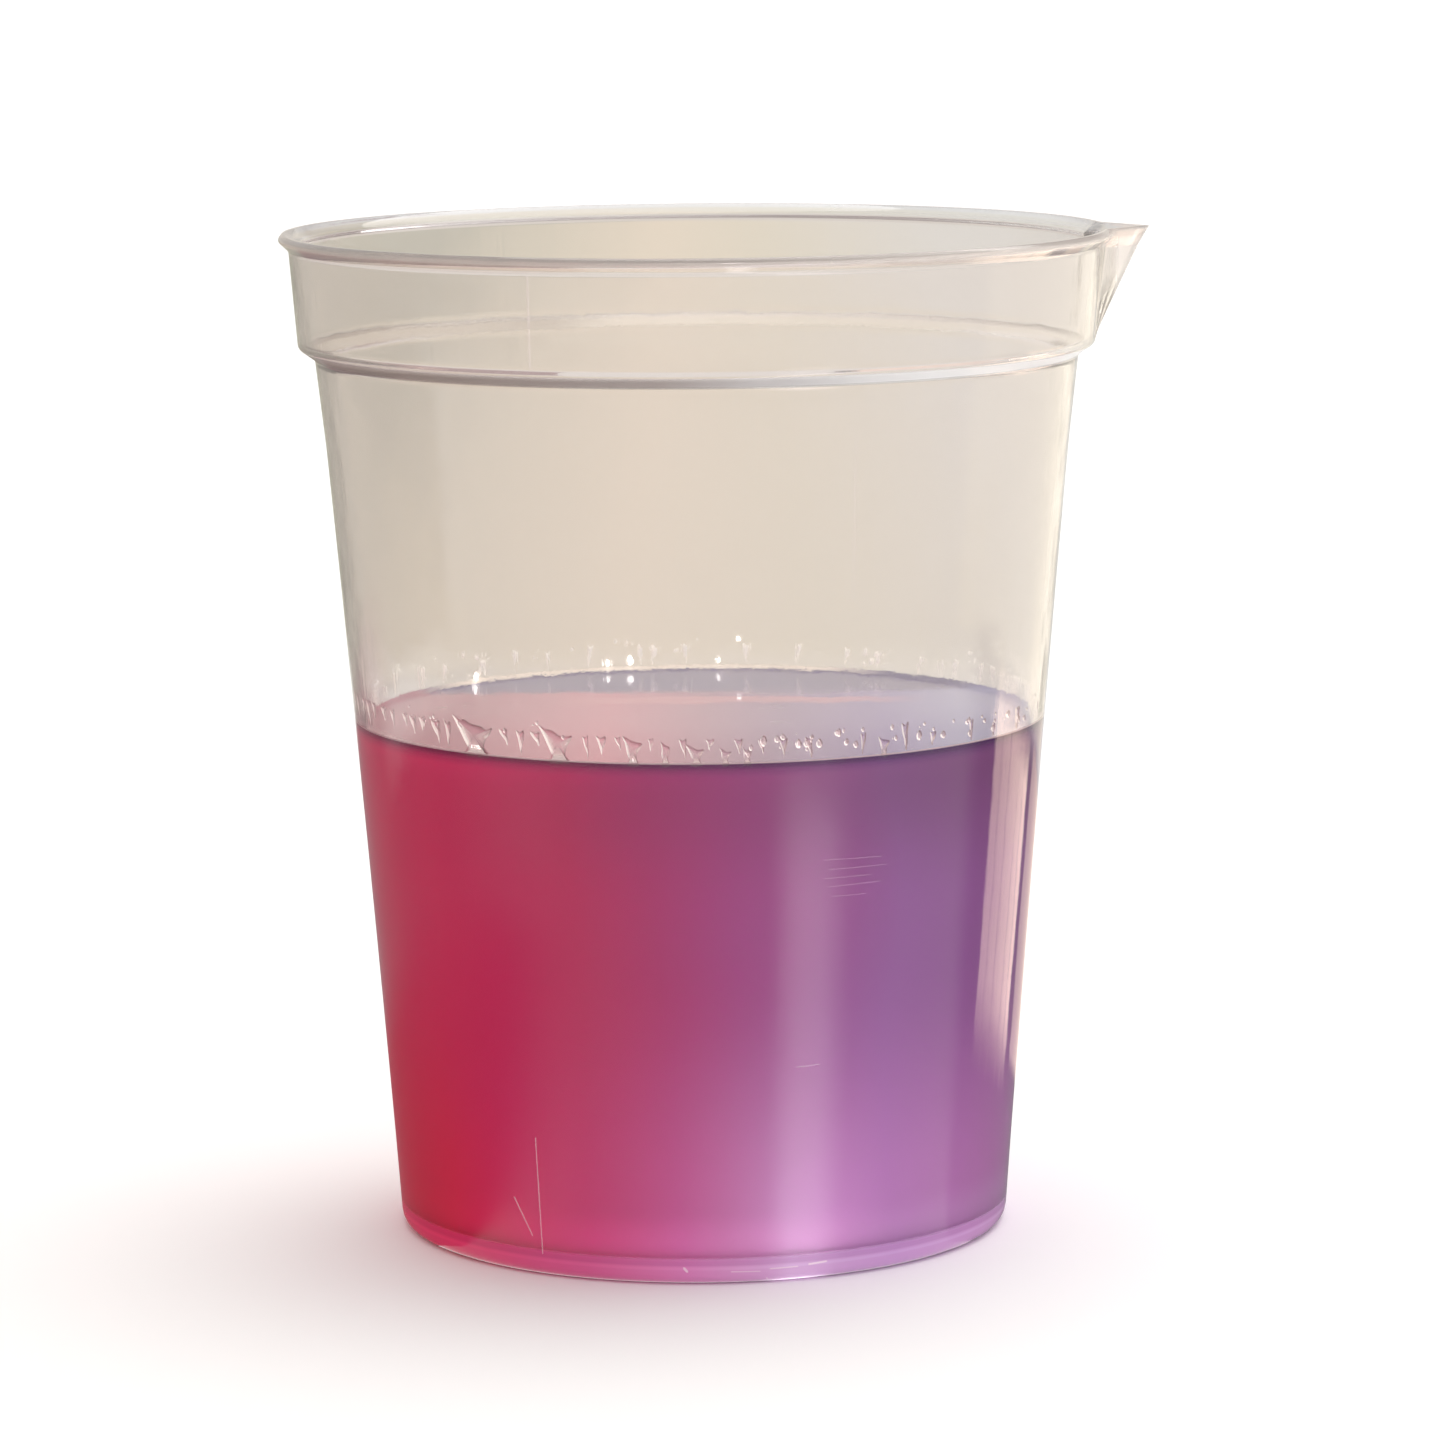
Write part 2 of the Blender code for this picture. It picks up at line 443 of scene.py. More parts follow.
def fuel_colours(n, point, x, z):
    """The fuel's colour at a point: crimson, magenta, violet from left to right, partly dye and partly
    painted light; paler low down with painted light from the floor, and painted shade towards the top on the
    right.
    """
    drift_mm = 6.0
    drift = n.times(n.math("SUBTRACT", n.noise(point, 0.05, 1.0), 0.5), drift_mm)
    across = n.range(n.math("ADD", x, drift), -SWEEP, SWEEP, smooth=False)
    # Painted light: the crimson-to-violet sweep stands partly for warm light from the left and bluish light
    # from the right, and the paler low stops for light from the floor.
    colour = n.mix(n.range(z, 26.0, 2.0), n.ramp(across, DYE_AND_LIGHT_MIDDLE), n.ramp(across, DYE_AND_LIGHT_LOW))
    # Painted shade: darker towards the top on the right.
    top_right_shade = n.mix(across, (1.0, 1.0, 1.0, 1.0), (0.70, 0.58, 0.62, 1.0))
    return n.shade(n.range(z, 30.0, 41.0), colour, top_right_shade)


def plastic_bump(n, point, x, y, z):
    """Slow ripples, fine grain and lines drawn up and down the wall."""
    ripple = n.noise(point, 0.12, 2.0)
    grain = n.noise(point, 2.5, 3.0)
    stretched = n.add("CombineXYZ", X=x, Y=y, Z=n.times(z, 0.03)).outputs[0]
    lines = n.range(n.noise(stretched, 1.1, 2.0), 0.55, 0.75)
    height = n.math("ADD", n.times(ripple, 0.4), n.times(grain, 0.01))
    height = n.math("ADD", height, n.times(lines, 0.012))
    return n.add("Bump", Strength=0.25, Distance=0.6 * MM, Height=height).outputs[0]


def plastic_haze(n, x, z):
    """How milky the plastic is: a little above the fuel, more on top of the rim and at the spout."""
    haze = n.range(z, BRINK, BRINK + 4.0, 0.01, 0.06)
    on_rim = n.range(x, 0.0, 30.0, 0.22, 0.42)
    haze = n.math("MAXIMUM", haze, n.range(z, TOP - 0.9, TOP - 0.5, 0.0, on_rim))
    return n.math("MAXIMUM", haze, n.range(x, RIM - 0.3, RIM + 0.5, 0.0, 0.40))


def scuff_marks(n, x, y, z):
    """1 on the scratches and nicks, on the front of the cup only."""
    marks = 0.0
    for start, end, width, strength in SCRATCHES:
        mark = n.times(n.scratch(x, z, start, end, width), strength)
        marks = n.math("MAXIMUM", marks, mark)
    return n.times(marks, n.range(y, -4.0, -6.0))


def step_shade_and_highlight(n, x, y, z):
    """How much of the step is covered, and its shader: painted shade at the near left, a painted highlight
    round the far side.
    """
    far_tone = n.mix(n.range(x, -14.0, -4.0), (0.60, 0.54, 0.46, 1.0), (1.00, 0.95, 0.84, 1.0))
    near_tone = n.sweep(x, STEP_SHADE_TONES, 30.0)
    tone = n.mix(n.range(y, -8.0, 4.0), near_tone, far_tone)
    far_share = n.range(x, -14.0, -4.0, 0.85, 0.22)
    ledge = n.window(z, LEDGE + 0.15, LEDGE + 0.30, LEDGE + 0.90, LEDGE + 1.10)
    share = n.times(ledge, n.range(y, -8.0, 4.0, 0.72, far_share))
    return share, n.add("BsdfPrincipled", Base_Color=tone, Roughness=0.6)


def foot_shader(n, point, x, z, scuffs, bump):
    """The thick foot, with the fuel over it painted into its colour as a glow, a painted shade line, and a
    paler painted highlight band below that.
    """
    # Painted glow: the fuel's colour as seen in the clear foot.
    glow = n.shade(1.0, fuel_colours(n, point, x, z), n.sweep(x, FOOT_DIMMING))
    paler = n.mix(n.range(x, -20.0, 0.0), (0.85, 0.20, 0.35, 1.0), (0.85, 0.80, 0.88, 1.0))
    glow = n.mix(0.14, glow, paler)
    # Painted shade in a line, and a painted highlight in a band below it.
    glow = n.shade(n.window(z, 1.50, 1.70, 1.95, 2.20), glow, (0.84, 0.76, 0.84, 1.0))
    glow = n.shade(n.window(z, 1.20, 1.32, 1.42, 1.52), glow, (1.06, 1.14, 1.08, 1.0))
    glow = n.mix(scuffs, glow, SCUFF)
    # The export takes the whole cup's roughness and specular level from this node.
    foot = n.add("BsdfPrincipled", Base_Color=glow, Roughness=0.08, IOR=PLASTIC_IOR, Normal=bump)
    foot.inputs["Specular IOR Level"].default_value = 0.3
    return foot


def clear_plastic():
    """Clear moulded plastic with a warm tint, drawn lines and scuffs, painted light on the rim's top and
    along the step, over a foot with a painted glow.
    """
    n = Nodes("clear_plastic")
    point, x, y, z = n.place()
    bump = plastic_bump(n, point, x, y, z)
    rough = n.range(n.noise(point, 0.35, 4.0, 0.6), 0.35, 0.75, 0.015, 0.05)
    # Painted light: the top of the rim is warmer on the near side and greyer on the far side.
    rim_painted_tone = n.mix(n.range(y, -6.0, 6.0), (0.92, 0.85, 0.80, 1.0), (0.80, 0.81, 0.82, 1.0))
    tone = n.mix(n.range(z, TOP - 1.1, TOP - 0.6), (0.90, 0.87, 0.855, 1.0), rim_painted_tone)
    glass = n.add("BsdfPrincipled", Base_Color=tone, Roughness=rough, IOR=PLASTIC_IOR, Normal=bump)
    n.set(glass.inputs["Transmission Weight"], n.math("SUBTRACT", 1.0, plastic_haze(n, x, z)))
    glass.inputs["Specular IOR Level"].default_value = 0.4
    clear = n.add("BsdfTransparent", Color=(0.90, 0.87, 0.83, 1.0))
    wall = n.blend(n.add("LightPath").outputs["Is Shadow Ray"], glass, clear)
    scuffs = scuff_marks(n, x, y, z)
    scuffed = n.blend(scuffs, wall, n.add("BsdfPrincipled", Base_Color=SCUFF, Roughness=0.5))
    # Painted shade and highlight along the step.
    step_paint_share, step_paint = step_shade_and_highlight(n, x, y, z)
    scuffed_and_step_painted = n.blend(step_paint_share, scuffed, step_paint)
    in_foot = n.range(z, FOOT + 0.75, FOOT + 0.40, 0.0, 0.94)
    return n.output(n.blend(in_foot, scuffed_and_step_painted, foot_shader(n, point, x, z, scuffs, bump)).outputs[0])


def surface_colours(n, point, x, y):
    """The fuel's surface: a painted highlight band across its far half, and past it a painted reflection of
    the dark far wall.
    """
    wavy = n.math("ADD", y, n.times(n.noise(point, 0.15, 1.0), 3.0))
    # Painted highlight: a pale band from ripples.
    ripple_highlight = n.window(wavy, 7.5, 9.5, 11.5, 12.5)
    ripple_highlight = n.times(ripple_highlight, n.window(x, -14.0, -6.0, 11.0, 20.0), 0.6)
    tones = n.mix(ripple_highlight, n.sweep(x, SURFACE_SHEEN_TONES), (0.72, 0.30, 0.34, 1.0))
    # Painted reflection of the dark far wall.
    return n.mix(n.range(wavy, 13.5, 17.5), tones, (0.12, 0.09, 0.23, 1.0))


def dyed_fuel():
    """The fuel: dyed body with painted shade under its edge, a surface of painted sheen and reflection, a
    painted highlight on the far edge of the pool and a paler painted highlight on the near edge.
    """
    n = Nodes("dyed_fuel")
    point, x, y, z = n.place()
    colour = fuel_colours(n, point, x, z)
    # Painted shade just under the fuel's edge, in two layers.
    colour = n.shade(n.range(z, BRINK - 1.25, BRINK - 0.25), colour, (0.62, 0.50, 0.75, 1.0))
    colour = n.shade(n.range(z, BRINK - 0.60, BRINK - 0.05), colour, (0.45, 0.35, 0.55, 1.0))
    # Painted light from the floor: the fuel brightens low down.
    colour = n.shade(n.range(z, 6.2, 3.0), colour, n.sweep(x, BASE_LIFT))
    facing_up = n.add("SeparateXYZ", Vector=n.add("TexCoord").outputs["Normal"]).outputs[2]
    top = n.range(facing_up, 0.3, 0.7)
    # The surface takes painted sheen, highlight and reflection colours.
    colour = n.mix(top, colour, surface_colours(n, point, x, y))
    # Painted highlight: a bright cream line along the far edge of the pool.
    far_brim_highlight = n.times(n.range(z, BRINK - 0.18, BRINK - 0.11), n.range(y, -2.0, 4.0))
    far_brim_highlight = n.times(far_brim_highlight, n.window(x, -25.0, -20.0, 9.0, 18.0))
    colour = n.mix(far_brim_highlight, colour, (1.0, 0.90, 0.78, 1.0))
    # Painted highlight: a pale line along the near edge of the fuel.
    near_lip_highlight = n.times(n.range(z, BRINK - 0.05, BRINK + 0.02), n.range(y, 2.0, -4.0), 0.8)
    colour = n.mix(near_lip_highlight, colour, (0.92, 0.72, 0.76, 1.0))
    swell = n.add("Bump", Strength=0.1, Distance=0.5 * MM, Height=n.noise(point, 0.2, 2.0)).outputs[0]
    body = n.add("BsdfPrincipled", Base_Color=colour, Roughness=0.05, IOR=FUEL_IOR, Normal=swell)
    n.set(body.inputs["Specular IOR Level"], n.times(top, 0.5))
    return n.output(body.outputs[0])


def film_edges(n, x, y, z, near):
    """Shares of the film that face up and right, which get painted shade, and down and left, which get a
    painted highlight.
    """
    geometry = n.add("NewGeometry")
    nx, ny, nz = n.add("SeparateXYZ", Vector=geometry.outputs["Normal"]).outputs
    outward = n.range(geometry.outputs["Backfacing"], 0.0, 1.0, 1.0, -1.0, smooth=False)
    radius = n.length(x, y)
    radial = n.math("DIVIDE", n.dot((nx, ny), (x, y)), radius)
    across = n.math("DIVIDE", n.math("SUBTRACT", n.times(ny, x), n.times(nx, y)), radius)
    steep = n.times(n.range(n.math("ABSOLUTE", radial), 0.95, 0.75), near)
    lean = n.times(n.math("ADD", nz, n.times(across, 0.7)), outward)
    dark = n.times(steep, n.range(lean, 0.1, 0.45))
    bright = n.times(steep, n.range(lean, -0.1, -0.45), n.range(z, BRINK + 0.3, BRINK + 0.9))
    return dark, bright


def fuel_film(name, clearness, glint):
    """The tears and beads of fuel on the wall: liquid, with painted shade along its upper edges, a painted
    highlight along its left ones, and a painted glow on the far wall. Its light has a shader of its own."""
    n = Nodes(name)
    _, x, y, z = n.place()
    near = n.range(y, 4.0, -4.0)
    dark, bright = film_edges(n, x, y, z, near)
    # Painted light: the far tears are tinted cream as if lit, edges facing up get painted shade, and edges
    # facing down and left a painted highlight.
    tint = n.mix(near, (1.0, 0.96, 0.88, 1.0), (0.92, 0.82, 0.85, 1.0))
    tint = n.mix(dark, tint, (0.34, 0.19, 0.22, 1.0))
    tint = n.mix(bright, tint, (1.0, 0.95, 0.92, 1.0))
    liquid = n.add("BsdfPrincipled", Base_Color=tint, Roughness=0.03, IOR=FILM_IOR)
    # The far tears and the highlit edges are less clear, so the painted light shows.
    clearness = n.times(n.range(y, -8.0, 8.0, clearness, 0.2), n.range(bright, 0.0, 1.0, 1.0, 0.6))
    n.set(liquid.inputs["Transmission Weight"], clearness)
    # Painted glow on the highlit edges and over the far tears.
    shine = n.math("MAXIMUM", n.times(bright, glint), n.range(near, 0.0, 1.0, 0.24, 0.0))
    glow = n.add("Emission", Color=(1.0, 0.95, 0.91, 1.0), Strength=shine)
    lit = n.add("AddShader")
    n.set(lit.inputs[0], liquid.outputs[0])
    n.set(lit.inputs[1], glow.outputs[0])
    clear = n.add("BsdfTransparent", Color=(0.98, 0.96, 0.97, 1.0))
    return n.output(n.blend(n.add("LightPath").outputs["Is Shadow Ray"], lit, clear).outputs[0])


def glint_material():
    """A bead that glows as a painted glint of sunlight: bright, and a little uneven."""
    n = Nodes("glint")
    point = n.place()[0]
    tone = n.mix(n.noise(point, 3.0), (1.0, 0.97, 0.92, 1.0), (0.92, 0.95, 1.0, 1.0))
    bead = n.add("BsdfPrincipled", Base_Color=tone, Roughness=0.1, IOR=FUEL_IOR)
    # Painted glint: the bead glows.
    bead.inputs["Emission Color"].default_value = (1.0, 0.98, 0.95, 1.0)
    bead.inputs["Emission Strength"].default_value = 2.5
    return n.output(bead.outputs[0])


# ---------------------------------------------------------------- the cup


def inside_corners():
    """Section corners from the middle of the floor inside, up to the top of the rim."""
    foot_inside = FLOOR + 0.8 * MM
    return [
        (0.0, FLOOR, 0.0),
        (inner_radius(FLOOR), FLOOR, 0.4 * MM),
        *body_line(foot_inside, STEP_Z - 1.2 * MM, BODY_ROWS, WALL),
        (STEP_RADIUS - WALL, STEP_Z + 0.3 * MM, 0.6 * MM),
        (COLLAR_FOOT_RADIUS - WALL, COLLAR_FOOT_Z + 0.1 * MM, 0.7 * MM),
        (COLLAR_TOP_RADIUS - WALL, HEIGHT - 0.90 * MM, 0.2 * MM),
        (COLLAR_TOP_RADIUS + 0.15 * MM, HEIGHT, 0.12 * MM),
    ]


def outside_corners():
    """Section corners from the rim's outer edge down to the middle of the underside."""
    return [
        (RIM_RADIUS - 0.25 * MM, HEIGHT, 0.2 * MM),
        (RIM_RADIUS, HEIGHT - 0.33 * MM, 0.12 * MM),
        (RIM_RADIUS, HEIGHT - 0.55 * MM, 0.08 * MM),
        (COLLAR_TOP_RADIUS, HEIGHT - 1.30 * MM, 0.25 * MM),
        (COLLAR_FOOT_RADIUS - 0.05 * MM, COLLAR_FOOT_Z, 0.25 * MM),
        (STEP_RADIUS + 0.05 * MM, STEP_Z + 0.15 * MM, 0.3 * MM),
        *reversed(body_line(1.5 * MM, STEP_Z - 1.2 * MM, BODY_ROWS)),
        (body_radius(0.2 * MM), 0.0, 1.3 * MM),
        (0.0, 0.0, 0.0),
    ]


def make_cup():
    inside = rounded(inside_corners())
    section = inside + rounded(outside_corners())
    spout_low = SPOUT_ROOT_Z - 1.0 * MM

    def bend(index, r, z, angle):
        if z < spout_low or abs(angle) > SPOUT_REACH:
            return r
        inset = WALL if index < len(inside) else 0.0
        return smooth_max(r, spout_radius(angle, z, inset), SPOUT_BLEND)

    angles = ring_angles(COARSE_TURN, FINE_TURN, FINE_REACH)
    cup = lathe("beaker", section, angles, bend)
    return finish_piece(cup, clear_plastic(), "clear_plastic", "cup")


# ---------------------------------------------------------------- the fuel


def make_fuel():
    """The body of fuel, which wets the wall and climbs it a little all round."""
    bottom = FLOOR - CONTACT
    level = FUEL_LEVEL - 0.25 * MM
    edge_z = level + MENISCUS_CLIMB
    edge = inner_radius(edge_z) + CONTACT
    section = [Vector((0.0, level))]
    steps = 12
    for step in range(steps + 1):
        t = step / steps
        rise = MENISCUS_CLIMB * math.exp(-(1 - t) * MENISCUS_DECAY) * t ** 0.5
        section.append(Vector((edge - MENISCUS_REACH * (1 - t), level + rise)))
    lower = [
        (edge, edge_z, 0.0),
        *reversed(body_line(bottom + 0.8 * MM, level, 10, WALL - CONTACT)),
        (inner_radius(bottom) + CONTACT, bottom, 0.4 * MM),
        (0.0, bottom, 0.0),
    ]
    section += rounded(lower)[1:]
    angles = [math.tau * i / FUEL_SIDES for i in range(FUEL_SIDES)]
    fuel = lathe("fuel", section, angles, lambda index, r, z, angle: r, sharp_degrees=40)
    return finish_piece(fuel, dyed_fuel(), "dyed_fuel", "fuel_sample")


# ---------------------------------------------------------------- the film, tears and beads


# Broad tears that stand in the pool: direction in degrees, width and height in mm.
CROWNS = [
    (-129.8, 4.0, 3.0),
    (-113.8, 2.8, 2.8),
    (-100.9, 1.5, 2.2),
    (-95.6, 0.7, 1.8),
    (-90.9, 1.4, 1.6),
    (-86.0, 0.9, 1.3),
    (-82.5, 0.7, 1.3),
    (-59.0, 1.0, 1.5),
]

# Runs of loose beads: how many, from and to which direction, how low and high over the pool, largest width.
BEAD_RUNS = [
    (52, -84.0, -20.0, 0.7, 2.3, 0.55),
    (14, -150.0, -90.0, 1.8, 3.2, 0.30),
    (34, 45.0, 150.0, 0.6, 2.4, 0.40),
    (12, -20.0, 45.0, 0.8, 2.6, 0.40),
]

# Places just over the far side of the pool where a wet bead glows as a painted glint: x, height and size in
# mm.
GLINTS = [
    (-19.4, 0.30, 0.55),
    (-8.0, 0.45, 0.45),
    (-6.1, 0.65, 0.60),
    (1.7, 0.50, 0.35),
    (3.5, 2.35, 0.30),
]


def loop_through(points, per_span=5):
    """A smooth closed loop through points, as a Catmull-Rom curve."""
    loop = []
    count = len(points)
    for i in range(count):
        p0, p1, p2, p3 = (Vector(points[(i + k) % count]) for k in (-1, 0, 1, 2))
        for step in range(per_span):
            t = step / per_span
            a = 2 * p1 + (p2 - p0) * t
            b = (2 * p0 - 5 * p1 + 4 * p2 - p3) * t * t
            c = (3 * p1 - p0 - 3 * p2 + p3) * t * t * t
            loop.append((a + b + c) / 2)
    return loop


def wall_point(angle, z, across, up, proud):
    """The point across and up from this angle and height that stands proud of the inner wall."""
    height = z + up
    turned = angle + across / inner_radius(height)
    r = inner_radius(height) - proud
    return r * math.cos(turned), r * math.sin(turned), height


def wet_patch(shape, angle, z, outline, heart, thickness, flatness):
    """Add a patch of liquid on the inner wall at angle and z. Its outline is (across, up) round a heart."""
    rings = []
    heart = Vector(heart)
    for share in (1.0, 0.97, 0.9, 0.78, 0.6, 0.35):
        proud = thickness * (1.0 - share ** (2 * flatness)) ** 0.5
        places = [heart + (Vector(point) - heart) * share for point in outline]
        rings.append([shape.verts.new(wall_point(angle, z, *place, proud)) for place in places])
    middle = shape.verts.new(wall_point(angle, z, *heart, thickness))
    back_ring = [shape.verts.new(wall_point(angle, z, *point, -CONTACT)) for point in outline]
    back = shape.verts.new(wall_point(angle, z, *heart, -CONTACT))
    count = len(outline)
    for i in range(count):
        j = (i + 1) % count
        for first, second in zip(rings, rings[1:]):
            shape.faces.new((first[i], first[j], second[j], second[i]))
        shape.faces.new((rings[-1][i], rings[-1][j], middle))
        shape.faces.new((rings[0][j], rings[0][i], back_ring[i], back_ring[j]))
        shape.faces.new((back_ring[j], back_ring[i], back))


def crown_outline(rng, width, height):
    """A broad tear: a ragged top edge that gathers into a leg standing in the pool."""
    lean = rng.uniform(0.0, 0.16) * width
    count = max(3, round(width / (0.6 * MM)))
    top = []
    for i in range(count + 1):
        share = i / count
        wave = rng.uniform(-0.12, 0.0) * height if 0 < i < count else 0.0
        top.append((width * (share - 0.5), height * (1.0 - 0.25 * share) + wave))
    leg = max(0.2 * MM, width * 0.20)
    foot_z = -0.15 * MM
    right = [
        (width * 0.44, height * 0.58),
        (lean + leg * 1.2, height * 0.40),
        (lean + leg * 0.95, height * 0.12),
    ]
    left = [
        (lean - leg * 1.0, height * 0.12),
        (lean - leg * 1.5, height * 0.38),
        (-width * 0.38, height * 0.74),
    ]
    foot = [(lean + leg * 1.5, foot_z), (lean - leg * 1.5, foot_z)]
    return loop_through(top + right + foot + left), (lean * 0.5, height * 0.5)


def tear_outline(rng, width, height):
    """A small tear: square shoulders and a point that trails down to one side."""
    lean = rng.uniform(-0.1, 0.5) * width
    points = [
        (-width * 0.50, height * rng.uniform(0.92, 1.0)), (0.0, height * 0.90), (width * 0.50, height),
        (width * 0.46, height * 0.62), (lean + width * 0.16, height * 0.25), (lean + width * 0.03, 0.0),
        (lean - width * 0.10, height * 0.25), (-width * 0.28, height * 0.62),
    ]
    return loop_through(points), (lean * 0.2, height * 0.62)


def bead_outline(rng, width, height):
    """A bead of liquid, rounder below than above."""
    points = []
    sides = 8
    for i in range(sides):
        turn = math.tau * i / sides
        pinch = 1.0 - 0.35 * max(math.sin(turn), 0.0)
        wobble = rng.uniform(0.9, 1.1)
        points.append((math.cos(turn) * width / 2 * pinch * wobble, math.sin(turn) * height / 2 * wobble))
    return loop_through(points, 3), (0.0, -0.08 * height)


def add_crowns(rng, shape):
    """Add the broad tears, and return the spans of angle that they take up."""
    taken = []
    for degrees, width, height in CROWNS:
        angle = math.radians(degrees)
        outline, heart = crown_outline(rng, width * MM, height * MM)
        thickness = 0.20 * MM * (width / 3.1) ** 0.5
        wet_patch(shape, angle, FUEL_LEVEL, outline, heart, thickness, 6.0)
        half = (width / 2 + 0.2) * MM / inner_radius(FUEL_LEVEL)
        taken.append((angle - half, angle + half))
    return taken


def add_small_tears(rng, shape, taken):
    """Add small tears all round: close together and shrinking to the right in front, longer behind."""
    start, front_end, end = (math.radians(a) for a in (-172.0, -76.0, 172.0))
    girth = inner_radius(FUEL_LEVEL)
    angle = start
    while angle < end:
        near = angle < front_end
        size = 1.0 - 0.35 * (angle - start) / (front_end - start) if near else rng.uniform(0.35, 0.6)
        width = (rng.uniform(0.45, 0.90) if near else rng.uniform(0.40, 0.75)) * MM * size ** 0.3
        height = (rng.uniform(1.1, 2.5) if near else rng.uniform(2.2, 4.4)) * MM * size
        middle = angle + width / 2 / girth
        angle += (width + (rng.uniform(0.4, 1.5) if near else rng.uniform(0.6, 5.0)) * MM) / girth
        if any(low < middle < high for low, high in taken):
            continue
        outline, heart = tear_outline(rng, width, height)
        above = max(2.7 * MM * size ** 0.8 - height, 0.2 * MM)
        wet_patch(shape, middle, FUEL_LEVEL + above, outline, heart, 0.34 * width, 1.5)


def make_film():
    """Tears of fuel draining down the wall: broad ones standing in the pool, and small ones between them."""
    rng = random.Random(11)
    shape = bmesh.new()
    taken = add_crowns(rng, shape)
    add_small_tears(rng, shape, taken)
    bmesh.ops.recalc_face_normals(shape, faces=shape.faces)
    film = mesh_object("fuel_film", shape)
    return finish_piece(film, fuel_film("fuel_film", 0.94, 0.30), "fuel_film", "wall_film")


def make_beads():
    """Loose beads of fuel on the wall above the pool."""
    rng = random.Random(19)
    shape = bmesh.new()
    for count, first, last, low, high, largest in BEAD_RUNS:
        for _ in range(count):
            angle = math.radians(rng.uniform(first, last))
            z = FUEL_LEVEL + rng.uniform(low, high) * MM
            width = largest * MM * rng.uniform(0.25, 1.0) ** 1.5
            outline, heart = bead_outline(rng, width, width * rng.uniform(1.1, 1.9))
            wet_patch(shape, angle, z, outline, heart, width * 0.45, 1.0)
    bmesh.ops.recalc_face_normals(shape, faces=shape.faces)
    beads = mesh_object("wall_droplets", shape)
    return finish_piece(beads, fuel_film("wall_droplets", 0.70, 0.55), "fuel_film")


def make_glints():
    """The few beads on the far wall that glow as painted glints of sunlight."""
    rng = random.Random(5)
    shape = bmesh.new()
    for x, above, size in GLINTS:
        width = size * MM
        outline, heart = bead_outline(rng, width, width * 1.3)
        angle = math.acos(x * MM / inner_radius(FUEL_LEVEL))
        wet_patch(shape, angle, FUEL_LEVEL + above * MM, outline, heart, width * 0.45, 1.0)
    bmesh.ops.recalc_face_normals(shape, faces=shape.faces)
    return finish_piece(mesh_object("glints", shape), glint_material(), "fuel_film")


# ---------------------------------------------------------------- the studio


# Centres of the floor's patches, in mm. A reflection in the wall comes from a direction about one of these.
MIDDLE = (0.0, 0.0)
LEFT_WALL = (-21.8, -14.8)
FRONT_WALL = (0.7, -14.9)
RIGHT_WALL = (21.8, -14.8)
RIGHT_EDGE = (25.0, -5.0)
FAR_AWAY = 9000.0

# The floor's tone from left to right, where it is seen through the empty half of the cup.
BACKDROP = [
    (0.05, (0.52, 0.50, 0.41)),
    (0.25, (0.72, 0.66, 0.53)),
    (0.44, (0.86, 0.76, 0.61)),
    (0.60, (0.82, 0.76, 0.62)),
    (0.90, (0.82, 0.80, 0.75)),
]


def studio_tones(n, x, y):
    """The floor as the cup mirrors and refracts it: dim on the left, bright behind on the right, with a lit
    strip in front and another behind. Each patch lies over those before it."""
    tone = (0.92, 0.90, 0.88, 1.0)
    backdrop = n.fan(x, y, MIDDLE, (-400.0, 400.0, 1.0), (260.0, FAR_AWAY, 100.0))
    tone = n.mix(backdrop, tone, n.sweep(x, BACKDROP, 100.0))
    for centre, turn, reach, colour in (
        (MIDDLE, (-164.0, -80.0, 6.0), (215.0, FAR_AWAY, 20.0), (0.45, 0.42, 0.36)),
        (MIDDLE, (85.0, 164.0, 6.0), (215.0, FAR_AWAY, 20.0), (1.22, 1.14, 0.98)),
        (LEFT_WALL, (-240.0, -45.0, 55.0), (-30.0, 190.0, 30.0), (0.34, 0.25, 0.27)),
        (LEFT_WALL, (-240.0, -118.0, 18.0), (-60.0, 300.0, 60.0), (0.40, 0.27, 0.28)),
        (LEFT_WALL, (-240.0, -20.0, 60.0), (-50.0, 115.0, 45.0), (0.42, 0.13, 0.15)),
        (RIGHT_WALL, (95.0, 200.0, 14.0), (-30.0, 230.0, 30.0), (0.28, 0.26, 0.28)),
        (RIGHT_EDGE, (150.0, 190.0, 2.0), (52.0, 215.0, 10.0), (1.10, 0.88, 0.76)),
        (FRONT_WALL, (21.0, 55.0, 15.0), (-60.0, 158.0, 52.0), (3.4, 3.2, 3.4)),
        (RIGHT_WALL, (115.0, 148.0, 2.5), (50.0, 222.0, 38.0), (3.2, 2.5, 2.0)),
    ):
        tone = n.mix(n.fan(x, y, centre, turn, reach), tone, (*colour, 1.0))
    for first in (121.0, 127.5, 136.0, 141.5):
        bar = n.fan(x, y, RIGHT_WALL, (first, first + 1.6, 0.7), (48.0, 215.0, 12.0))
        tone = n.mix(n.times(bar, 0.4), tone, (1.2, 0.9, 0.8, 1.0))
    return tone


def make_floor():
    """A floor that is plain and pale to the camera and to soft light. The cup mirrors toned patches."""
    half_size = 8.0
    below_cup = 0.02 * MM
    n = Nodes("pale_floor")
    _, x, y, _ = n.place()
    laid_out = n.add("Emission", Color=studio_tones(n, x, y), Strength=1.0)
    plain = n.add("BsdfDiffuse", Color=(0.95, 0.95, 0.95, 1.0))
    path = n.add("LightPath").outputs
    seen = n.math("MAXIMUM", path["Is Camera Ray"], path["Is Diffuse Ray"])
    material = n.output(n.blend(seen, laid_out, plain).outputs[0])
    shape = bmesh.new()
    bmesh.ops.create_grid(shape, x_segments=1, y_segments=1, size=half_size)
    floor = mesh_object("floor", shape)
    floor.location.z = -below_cup
    floor.data.materials.append(material)


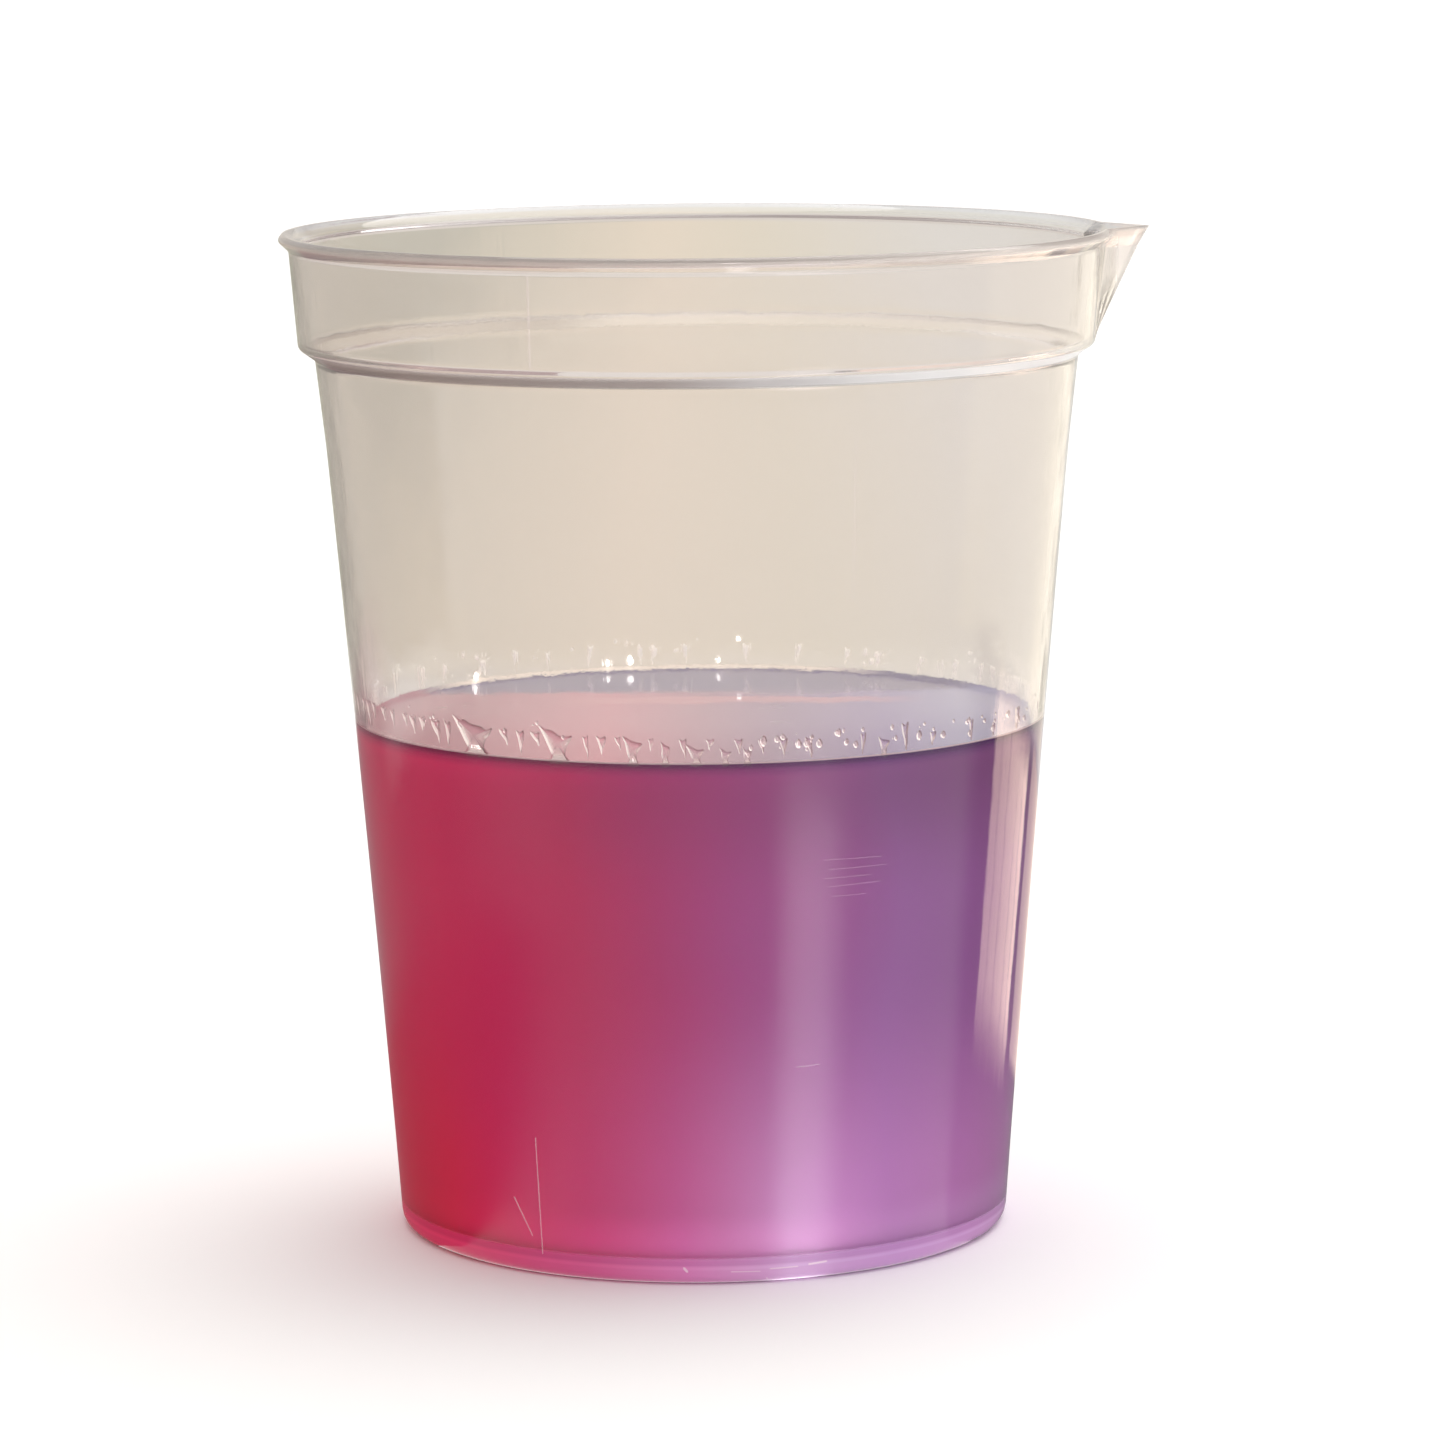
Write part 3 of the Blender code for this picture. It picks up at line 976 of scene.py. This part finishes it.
def make_world():
    """A pale room, dimmer on the left. What the cup mirrors is dark high up behind on the right, and the
    camera sees plain white."""
    world = bpy.data.worlds.new("studio")
    bpy.context.scene.world = world
    world.use_nodes = True
    n = Nodes("studio", world.node_tree)
    x, y, z = n.add("SeparateXYZ", Vector=n.add("TexCoord").outputs["Generated"]).outputs
    level = n.range(x, -1.0, 1.0, 0.66, 0.94, smooth=False)
    behind = n.range(y, 0.2, 0.5)
    high = n.times(n.range(z, 0.16, 0.30), behind)
    upper = n.mix(n.range(x, -0.30, 0.10), (0.98, 0.96, 0.93, 1.0), (0.32, 0.25, 0.24, 1.0))
    low = n.mix(behind, (1.0, 0.99, 0.99, 1.0), (0.93, 0.87, 0.80, 1.0))
    studio = n.add("Background", Color=n.mix(high, low, upper), Strength=level)
    plain = n.add("Background", Color=(1.0, 0.985, 0.965, 1.0), Strength=level)
    seen = n.add("Background", Color=(1.0, 1.0, 1.0, 1.0), Strength=1.0)
    path = n.add("LightPath").outputs
    lit = n.blend(path["Is Diffuse Ray"], studio, plain)
    n.add("OutputWorld", Surface=n.blend(path["Is Camera Ray"], lit, seen).outputs[0])


def make_lights():
    """One broad soft light from high up behind."""
    direction = Vector((0.3, 0.5, 1.2))
    data = bpy.data.lights.new("high_light", "SUN")
    data.energy = 1.5
    data.angle = math.radians(60)
    data.color = (1.0, 0.98, 0.96)
    light = bpy.data.objects.new("high_light", data)
    light.location = direction
    light.rotation_euler = (-direction).to_track_quat("-Z", "Y").to_euler()
    bpy.context.scene.collection.objects.link(light)


def make_camera():
    """The eye is about half a metre away, a little above the rim, with a long lens."""
    eye = (0.0, -0.48876, 0.11480)
    yaw, pitch, roll = 0.0038, 0.1489, -0.0082
    data = bpy.data.cameras.new("camera")
    data.sensor_width = 36.0
    data.lens = 149.06
    data.clip_start = 0.01
    data.clip_end = 50.0
    camera = bpy.data.objects.new("camera", data)
    forward = Vector((math.sin(yaw) * math.cos(pitch), math.cos(yaw) * math.cos(pitch), -math.sin(pitch)))
    right = forward.cross(Vector((0, 0, 1))).normalized()
    up = right.cross(forward)
    turned_right = right * math.cos(roll) + up * math.sin(roll)
    turned_up = up * math.cos(roll) - right * math.sin(roll)
    axes = Matrix((turned_right, turned_up, -forward)).transposed()
    camera.matrix_world = Matrix.Translation(eye) @ axes.to_4x4()
    bpy.context.scene.collection.objects.link(camera)
    bpy.context.scene.camera = camera


def set_up_view():
    scene = bpy.context.scene
    scene.view_settings.view_transform = "Standard"
    scene.cycles.transparent_max_bounces = 24
    scene.cycles.transmission_bounces = 16
    scene.cycles.max_bounces = 20


make_camera()
make_world()
make_lights()
make_floor()
make_cup()
make_fuel()
make_film()
make_beads()
make_glints()
set_up_view()
